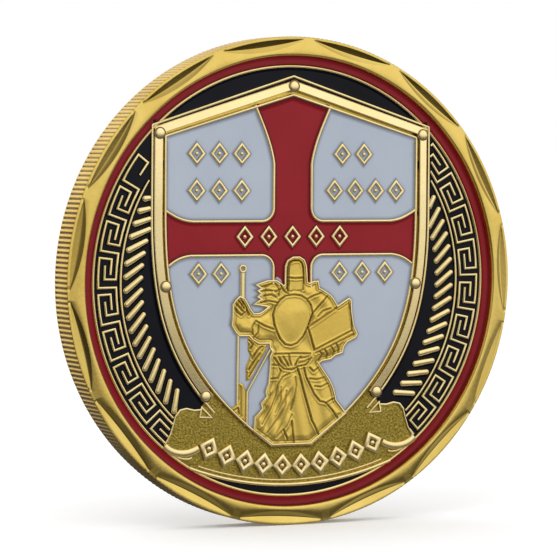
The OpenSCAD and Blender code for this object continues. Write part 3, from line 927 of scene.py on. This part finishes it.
def relief(part, outline, cuts, height, step=0.07, wall=1.0, edge_dark=0.0):
    """A modelled surface over an outline, with a wall down to wall, and cut lines of a given strength, with
    painted shade along the cut lines and, by edge_dark, in a ring just inside the outline.
    """
    pts, faces = fill(outline, step)
    d = seg_dist(pts, outline, True)
    h = height(pts, d)
    shade = np.zeros(len(pts))
    for line, amount in cuts:
        q = seg_dist(pts, line)
        g = np.exp(-((q / 0.056) ** 2))
        h = h - 0.06 * amount * g + 0.028 * amount * np.exp(-(((q - 0.15) / 0.06) ** 2))
        # Painted shade along each cut line
        shade = np.maximum(shade, min(1.0, 1.05 * amount) * np.exp(-((q / 0.052) ** 2)))
    ring = np.exp(-(((d - 0.27) / 0.055) ** 2))
    h = h - 0.035 * ring * edge_dark
    # Painted shade in a ring just inside the outline
    shade = np.maximum(shade, edge_dark * ring * 0.5)
    part.add([(x, y, z) for (x, y), z in zip(pts, h)], up(faces, pts), shade)
    out = resample(outline, step)
    n = len(out)
    area = sum(out[i - 1][0] * out[i][1] - out[i][0] * out[i - 1][1] for i in range(n))
    z0 = height(V(out), np.zeros(n))
    verts = [(x, y, z) for (x, y), z in zip(out, z0)] + [(x, y, wall) for x, y in out]
    fs = [(i, i + n, (i + 1) % n + n, (i + 1) % n) for i in range(n)]
    part.add(verts, fs if area > 0 else [f[::-1] for f in fs])


def cape_amount(x, y, taken):
    """Where the cape and sleeves are: the upper part, away from the pieces laid over it."""
    return np.where(taken, 0.0, smooth((y + 6.3) / 0.6))


def figure_height(pts, d):
    """Height of the figure's surface, d mm inside its outline."""
    x, y = pts[:, 0], pts[:, 1]
    h = 1.24 + 0.06 * smooth(d / 0.12)
    h = h + 0.05 * smooth((d - 0.25) / 0.5)
    t_in = inside(pts, TARGE)
    td = seg_dist(pts, TARGE, True)
    h = np.where(t_in, 1.37 + 0.07 * smooth(td / 1.6), h)
    b_in = inside(pts, BOOK) & ~t_in
    bd = seg_dist(pts, BOOK, True)
    h = np.where(b_in, 1.36 + 0.03 * smooth(bd / 0.15) + 0.012 * (x - 3.4) * -0.6, h)
    hm = inside(pts, HELM)
    crown = np.sqrt(np.clip(1 - ((x - 0.24) / 0.8) ** 2, 0, 1))
    h = np.where(hm, 1.33 + 0.1 * crown * smooth((1.8 - y) / 0.4 + 0.3), h)
    low = (y < -7.0) & (y > -13.4) & ~t_in
    fold = 0.03 * np.sin((x + 0.22 * (y + 7) + 0.5) * 5.0) * smooth((-7.0 - y) / 1.5) * smooth(d / 0.5)
    h = np.where(low, h + fold, h)
    cloth = smooth((0.25 - x) / 0.3) * smooth((-8.2 - y) / 0.8) * smooth(d / 0.3)
    h = h + 0.026 * cloth * np.sin((0.87 * x - 0.5 * y) * 9.5 + 0.8 * np.sin(1.7 * y))
    cape = cape_amount(x, y, t_in | b_in | hm)
    h = h + 0.02 * cape * np.sin((0.6 * x + 0.8 * y) * 4.2) * smooth(d / 0.3)
    return h


figure = Part("front_figure", SATIN, "gold")
relief(figure, FIGURE, CUTS_IN, figure_height, 0.065, 1.0, 1.0)
figure.make(60)

figure_line = Part("front_figure_outline", WIRE, "gold")
sweep(figure_line, FIGURE, wire_profile(0.17, 1.345), closed=True)
staff_up = [(-4.46, 0.78), (-4.46, -1.3)]
staff_low = [(-4.84, -4.3), (-4.87, -7.0), (-4.88, -10.0)]
staff_ring = arc(-4.46, 1.05, 0.26, 90, 430, 20)
sweep(figure_line, staff_ring[:-1], wire_profile(0.2, 1.33), closed=True)
sweep(figure_line, staff_up, wire_profile(0.42, 1.32))
sweep(figure_line, staff_low, wire_profile(0.2, 1.30))
sword = [(-1.95, -5.55), (-4.0, -8.98), (-4.04, -11.75)]
sweep(figure_line, sword, wire_profile(0.17, 1.33))
sweep(figure_line, [(-1.95, -5.5), (-1.75, -5.75)], wire_profile(0.34, 1.36))
figure_line.make(40)

tail = Part("front_staff_foot", SATIN, "gold")
FOOT = [
    (-4.72, -8.25), (-4.3, -8.35), (-4.12, -9.1), (-4.14, -11.55), (-4.85, -11.0), (-5.45, -10.4),
    (-4.98, -10.0), (-4.75, -9.6)]
relief(tail, FOOT, [([(-4.6, -8.5), (-4.55, -11.0)], 0.7), ([(-5.3, -10.5), (-4.85, -10.3),
                                                             (-4.75, -10.8)], 0.8)],
       lambda p, d: 1.22 + 0.08 * smooth(d / 0.12), 0.07, 1.0, 0.4)
TAIL = [
    (-3.95, -4.45), (-3.5, -4.75), (-3.0, -5.1), (-2.2, -5.1), (-2.3, -5.65), (-3.2, -7.0),
    (-3.75, -8.0), (-4.08, -8.1), (-4.1, -6.9), (-3.7, -6.1), (-3.92, -5.6)]
relief(tail, TAIL, [([(-3.85, -4.8), (-3.5, -5.1), (-3.75, -5.5)], 1.0),
                    ([(-3.6, -6.3), (-3.1, -5.6), (-2.7, -5.3)], 1.0),
                    ([(-3.9, -7.2), (-3.4, -6.5), (-2.9, -5.9)], 1.0),
                    ([(-3.85, -7.8), (-3.45, -7.2), (-3.0, -6.5)], 1.0)],
       lambda p, d: 1.2 + 0.07 * smooth(d / 0.15), 0.06, 1.0, 0.5)
tail.make(60)

for side, spots, nm in ((-1, MOTIFS_LOW_L, "left"), (1, MOTIFS_LOW_R, "right")):
    p = Part("enamel_lower_" + nm, WHITE, "white_enamel")
    plate(p, sided(quarter_lower, side), ENAMEL, 0.8)
    hem(p, sided(LOWER, side), 0.22, 0.1, 0.3, 1)
    hem(p, side_run(-10.9, 1.5, side), 0.2, 0.1, 0.3, -1)
    for cx, cy in spots:
        lozenge(motifs, cx, cy, 0.76, 0.88, under=p)
    creep(p, FIGURE[11:41] if side > 0 else FIGURE[60:-1], 0.17, 0.09, 0.26)
    if side < 0:
        creep(p, staff_up, 0.42, 0.09, 0.24)
        creep(p, staff_low, 0.2, 0.08, 0.22)
    p.make(40, ["front_white_lower_" + nm])

pool = Part("enamel_pool", WHITE, "white_enamel")
POOL = [(-4.6, -4.4), (-2.0, -5.1), (-1.9, -7.0), (-2.3, -9.2), (-3.3, -11.2), (-3.45, -12.1),
        (-4.1, -11.6), (-4.7, -8.2)]
plate(pool, POOL, ENAMEL + 0.006, 0.6)
creep(pool, sword, 0.17, 0.09, 0.2)
creep(pool, FIGURE[43:56], 0.17, 0.09, 0.2)
pool.make(40, ["front_white_pool"])

cross = Part("enamel_cross", RED, "red_enamel")
right_side = UPPER[:-1] + [(11.3, 5.8), (11.05, 3.5), (10.85, 1.45)] + LOWER
CROSS = [(0, 15.12), (3.42, 14.15)] + right_side[1:] + flip(right_side[1:]) + [(-3.42, 14.15)]
plate(cross, CROSS, ENAMEL - 0.004, 0.8)
for path in (UPPER, flip(UPPER), LOWER, flip(LOWER)):
    hem(cross, path, 0.22, 0.1, 0.3, -1, ENAMEL - 0.004)
for cx, cy in MOTIFS_CROSS:
    lozenge(motifs, cx, cy, 0.76, 0.88, under=cross)
creep(cross, FIGURE[0:10], 0.17, 0.09, 0.3)
hem(cross, [(-3.3, 14.1), (0, 15.12), (3.3, 14.1)], 0.2, 0.1, 0.3, -1)
for side in (-1, 1):
    hem(cross, side_run(1.5, 5.8, side), 0.2, 0.1, 0.3, -1)
cross.make(40, ["front_red_cross"])
motifs.make(35)

# ---- ribbon

ribbon = Part("front_ribbon", BLASTED, "gold")
foot_arc = arc(0, 9.3, 26.0, 270, 284.5, 14)
R_HALF = (foot_arc + [(8.3, -15.32), (9.6, -14.65), (10.9, -13.72), (11.35, -13.2)]
          + list(reversed(RIBBON_EDGE))[1:])
inner_foot = [p for p in half_shield(0.2, 60) if p[1] < -8.6]
RIBBON = R_HALF + [(7.5, -9.3)] + inner_foot + flip(inner_foot)[1:] + [(-7.5, -9.3)] + flip(R_HALF)[:-1]
pts, faces = fill(RIBBON, 0.22)
dist = seg_dist(pts, RIBBON, True)
up_edge = seg_dist(pts, inner_foot + flip(inner_foot), False)
zz = 1.14 + 0.03 * smooth(dist / 0.5)
# Painted shade along the ribbon's upper edge under the shield, and round each lozenge
sh = 0.75 * np.exp(-(((up_edge - 0.12) / 0.16) ** 2))
# Where the ribbon's lozenges stand, on an arc: x, y and turn
RIBBON_SPOTS = []
for i in range(10):
    t = math.radians((i - 4.5) * 5.5)
    RIBBON_SPOTS.append((17.75 * math.sin(t), 2.6 - 17.75 * math.cos(t), t))
for cx, cy, t in RIBBON_SPOTS:
    q = np.hypot(pts[:, 0] - cx, pts[:, 1] - cy)
    sh = np.maximum(sh, 0.55 * np.exp(-((q / 0.75) ** 4)))
ribbon.add([(x, y, z) for (x, y), z in zip(pts, zz)], up(faces, pts), sh)
ribbon.make(50)

trim = Part("front_ribbon_edges", WIRE, "gold")
low = arc(0, 9.3, 26.0, 249.5, 290.5, 70)
sweep(trim, low, wire_profile(0.28, 1.38))
low2 = arc(0, 9.3, 25.62, 251, 289, 60)
sweep(trim, low2, wire_profile(0.14, 1.27))
for s in (1, -1):
    top_edge = RIBBON_EDGE[:5]
    side_edge = RIBBON_EDGE[4:]
    curl = bez((11.35, -13.15), (10.6, -13.95), (9.3, -14.05), (8.35, -13.45), 12)
    under = bez((11.2, -13.45), (10.4, -14.2), (9.3, -14.5), (8.9, -14.2), 10)
    tri = [(8.05, -10.15), (7.15, -11.0), (8.25, -10.95)]
    if s < 0:
        top_edge, side_edge, curl, under, tri = map(flip, (top_edge, side_edge, curl, under, tri))
    sweep(trim, top_edge, wire_profile(0.2, 1.34))
    sweep(trim, side_edge, wire_profile(0.14, 1.26))
    sweep(trim, curl, wire_profile(0.58, 1.43))
    sweep(trim, under, wire_profile(0.18, 1.30))
    sweep(trim, tri, wire_profile(0.16, 1.32), closed=True)
trim.make(40)

ribbon_marks = Part("front_ribbon_lozenges", POLISHED, "gold")
for cx, cy, t in RIBBON_SPOTS:
    lozenge(ribbon_marks, cx, cy, 0.84, 0.93, turn=t, top=1.44, line=0.42, base=1.05, pellet=0.21)
ribbon_marks.make(35)

foot = Part("enamel_foot", BLACK, "black_enamel")
arc_out = [polar(a, 17.5) for a in np.linspace(155, 205, 50)]
arc_in = arc(0, 9.3, 25.9, 286, 254, 40)
plate(foot, arc_out + list(reversed(arc_in)), ENAMEL, 0.5)
foot.make(40, ["front_black_foot"])
front_wires.make(40)

# ---- other face

back_wires = Part("back_lines", WIRE, "gold", True)
ring_wire(back_wires, 17.46, 17.69)
ring_wire(back_wires, 12.86, 13.1)
ring_wire(back_wires, 7.2, 7.7, 1.32)
back_field = Part("back_blasted_field", BLASTED, "gold", True)
ring_surface(back_field, [(7.6, 0.96), (8.5, 0.97), (10.2, 0.975), (12.0, 0.97), (12.95, 0.96)], 240)
back_field.make(60)
back_ring = Part("enamel_back_ring", BLACK, "black_enamel", True)
ring_surface(back_ring, [(13.05, 1.2), (13.15, 1.16), (13.35, 1.13), (15.3, 1.13), (17.2, 1.13),
                         (17.38, 1.16), (17.48, 1.2)], 240)
back_marks = Part("back_lozenges", WIRE, "gold", True)
for i in range(24):
    t = -math.radians(15 * i)
    cx, cy = 15.25 * math.sin(-t), 15.25 * math.cos(-t)
    ring = [(0.4, 0), (0, 1.1), (-0.4, 0), (0, -1.1)]
    ring = placed(ring, cx, cy, t)
    verts = [(x, y, 1.02) for x, y in ring] + [(x, y, 1.2) for x, y in ring]
    verts += [(cx + (x - cx) * 0.35, cy + (y - cy) * 0.35, 1.3) for x, y in ring]
    fs = [(k * 4 + j, k * 4 + (j + 1) % 4, (k + 1) * 4 + (j + 1) % 4, (k + 1) * 4 + j)
          for k in range(2) for j in range(4)]
    fs.append((8, 9, 10, 11))
    back_marks.add(verts, fs)
    creep(back_ring, resample(ring, 0.3), 0.02, 0.07, 0.2, closed=True)
back_marks.make(20)
back_ring.make(40, ["back_black_ring"])
wreath = Part("back_wreath", SATIN, "gold", True)
for s in (-1, 1):
    for i in range(12):
        t = math.radians(180 + s * (14 + i * 12.2))
        cx, cy = -10.2 * math.sin(t), 10.2 * math.cos(t)
        tt = t + math.radians(s * 62)
        half = arc(-0.9, 0, 1.3, -46, 46, 10)
        other = arc(0.9, 0, 1.3, 134, 226, 10)
        leaf = placed(half[:-1] + other[:-1], cx, cy, tt)
        vein = placed([(0, -0.8), (0, 0.75)], cx, cy, tt)
        relief(wreath, leaf, [(vein, 0.9)], lambda p, d: 1.06 + 0.2 * smooth(d / 0.35), 0.11, 0.95)
wreath.make(60)
stem = Part("back_stem", WIRE, "gold", True)
for s in (-1, 1):
    line = [polar(180 + s * a, 10.2) for a in np.linspace(3, 152, 60)]
    sweep(stem, line, wire_profile(0.2, 1.14, 0.95))
stem.make(40)
panel = Part("enamel_back_panel", WHITE, "white_enamel", True)
ring_surface(panel, [(0.01, 1.13), (2.5, 1.13), (5.0, 1.13), (6.6, 1.13), (6.95, 1.135), (7.12, 1.155),
                     (7.24, 1.2)], 240)
panel.make(60, ["back_white_panel"])
back_wires.make(40)
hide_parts("coin_body")

# ---- floor, light and camera

scene = bpy.context.scene
scene.view_settings.view_transform = "Standard"
scene.view_settings.look = "None"

floor_mat, nt, b = new_mat("floor")
fn = noise(nt, 6.0, 2.0)
fr = ramp(nt, fn.outputs["Fac"], [(0.3, (0.93, 0.93, 0.93)), (0.7, (0.96, 0.96, 0.96))])
nt.links.new(fr.outputs[0], b.inputs["Base Color"])
b.inputs["Roughness"].default_value = 0.9
b.inputs["Specular IOR Level"].default_value = 0.05
b.inputs["Emission Color"].default_value = (1, 1, 1, 1)
b.inputs["Emission Strength"].default_value = 0.12
bpy.ops.mesh.primitive_plane_add(size=12, location=(0, 0, 0))
floor = bpy.context.object
floor.name = "floor"
floor.data.materials.append(floor_mat)
floor.visible_glossy = False

world = bpy.data.worlds.new("studio")
scene.world = world
world.use_nodes = True
wt = world.node_tree
bg = wt.nodes["Background"]
tc = node(wt, "ShaderNodeTexCoord")


def math_node(op, x, y=None):
    n = node(wt, "ShaderNodeMath", operation=op)
    for k, val in enumerate((x, y)):
        if val is None:
            continue
        if isinstance(val, float):
            n.inputs[k].default_value = val
        else:
            wt.links.new(val, n.inputs[k])
    return n.outputs[0]


def levels(src, lo, hi, stops):
    """Brightness against an angle or a height, through (value, level) stops."""
    mr = node(wt, "ShaderNodeMapRange")
    mr.inputs["From Min"].default_value = lo
    mr.inputs["From Max"].default_value = hi
    wt.links.new(src, mr.inputs["Value"])
    return ramp(wt, mr.outputs[0], [((v - lo) / (hi - lo), (q, q, q)) for v, q in stops]).outputs[0]


# What the metal sees. box_z is a softbox by height: bright above the horizon, dim below it, fading at the
# zenith. box_a is the same by direction, with a dark patch round the camera. table adds light from
# straight below and from straight above. low adds a patch at the lower right.
sep = node(wt, "ShaderNodeSeparateXYZ")
wt.links.new(tc.outputs["Generated"], sep.inputs[0])
height = sep.outputs["Z"]
front = math_node("MULTIPLY", sep.outputs["Y"], -1.0)
around = math_node("MULTIPLY", math_node("ARCTAN2", sep.outputs["X"], front), 180 / math.pi)
box_z = levels(height, -1, 1, [(-0.36, 0.03), (-0.26, 0.08), (-0.17, 0.28), (-0.09, 0.68), (0.0, 0.95),
                               (0.1, 1.0),
                               (0.4, 1.0), (0.7, 0.95), (0.85, 0.75), (0.95, 0.3)])
box_a = levels(around, -180, 180, [(-180, 0.9), (-150, 0.9), (-115, 0.6), (-80, 0.55), (-58, 0.45),
                                   (-42, 0.2), (-24, 0.2), (-10, 0.5), (0, 0.78), (15, 1.0), (50, 1.0),
                                   (64, 0.6), (78, 0.3), (110, 0.12), (150, 0.5), (180, 0.9)])
table = levels(height, -1, 1, [(-1, 0.25), (-0.75, 0.32), (-0.5, 0.14), (-0.33, 0.06), (0, 0.05),
                               (0.6, 0.05), (0.8, 0.2),
                               (0.92, 0.6), (1, 0.8)])
right_low = node(wt, "ShaderNodeVectorMath", operation="DOT_PRODUCT")
wt.links.new(tc.outputs["Generated"], right_low.inputs[0])
right_low.inputs[1].default_value = Vector((0.86, -0.12, -0.5)).normalized()
low = levels(right_low.outputs["Value"], -1, 1, [(0.86, 0.0), (0.98, 0.3)])
box = math_node("MULTIPLY", math_node("MULTIPLY", box_z, box_a), 1.12)
level = math_node("ADD", box, math_node("ADD", table, low))
sky = node(wt, "ShaderNodeCombineColor")
for k in range(3):
    wt.links.new(level, sky.inputs[k])
lp = node(wt, "ShaderNodeLightPath")
mix = node(wt, "ShaderNodeMix", data_type="RGBA")
wt.links.new(lp.outputs["Is Glossy Ray"], mix.inputs[0])
mix.inputs[6].default_value = (1, 1, 1, 1)
wt.links.new(sky.outputs[0], mix.inputs[7])
wt.links.new(mix.outputs[2], bg.inputs["Color"])
bg.inputs["Strength"].default_value = 1.0


def softbox(name, loc, size, power):
    data = bpy.data.lights.new(name, "AREA")
    data.shape = "RECTANGLE"
    data.size, data.size_y = size
    data.energy = power
    o = bpy.data.objects.new(name, data)
    scene.collection.objects.link(o)
    o.location = loc
    o.rotation_euler = (Vector((0, 0, 0.02)) - Vector(loc)).to_track_quat("-Z", "Y").to_euler()
    return o


key = softbox("key_top_left", (-0.25, -0.30, 0.40), (0.3, 0.3), 0.45)
key.visible_glossy = False

# The camera in the face's millimetres: its place, and its right, up and backward directions
CAMERA_AT = V((-113.585, 11.337, 237.613)) * 1.0101 + V((0, 0, 1.0))
CAMERA_RIGHT, CAMERA_UP = V((0.90403, 0.00679, 0.42741)), V((0.01191, 0.99909, -0.04106))
CAMERA_BACK = V((-0.42730, 0.04221, 0.90313))
LENS_MM = 210.129479
cam_data = bpy.data.cameras.new("camera")
cam = bpy.data.objects.new("camera", cam_data)
scene.collection.objects.link(cam)
cam_data.sensor_width = 36
cam_data.shift_x = -0.0024
cam_data.lens = LENS_MM


def to_row(v):
    """A direction on the face, in the row frame."""
    return Vector((v[0], -v[2], v[1]))


mat = Matrix((to_row(CAMERA_RIGHT), to_row(CAMERA_UP), to_row(CAMERA_BACK))).transposed().to_4x4()
mat.translation = Vector((CAMERA_AT[0] * MM, -CAMERA_AT[2] * MM, (CAMERA_AT[1] + STAND) * MM))
cam.matrix_world = mat
cam_data.clip_start = 0.01
cam_data.clip_end = 20
cam_data.dof.use_dof = False
scene.camera = cam
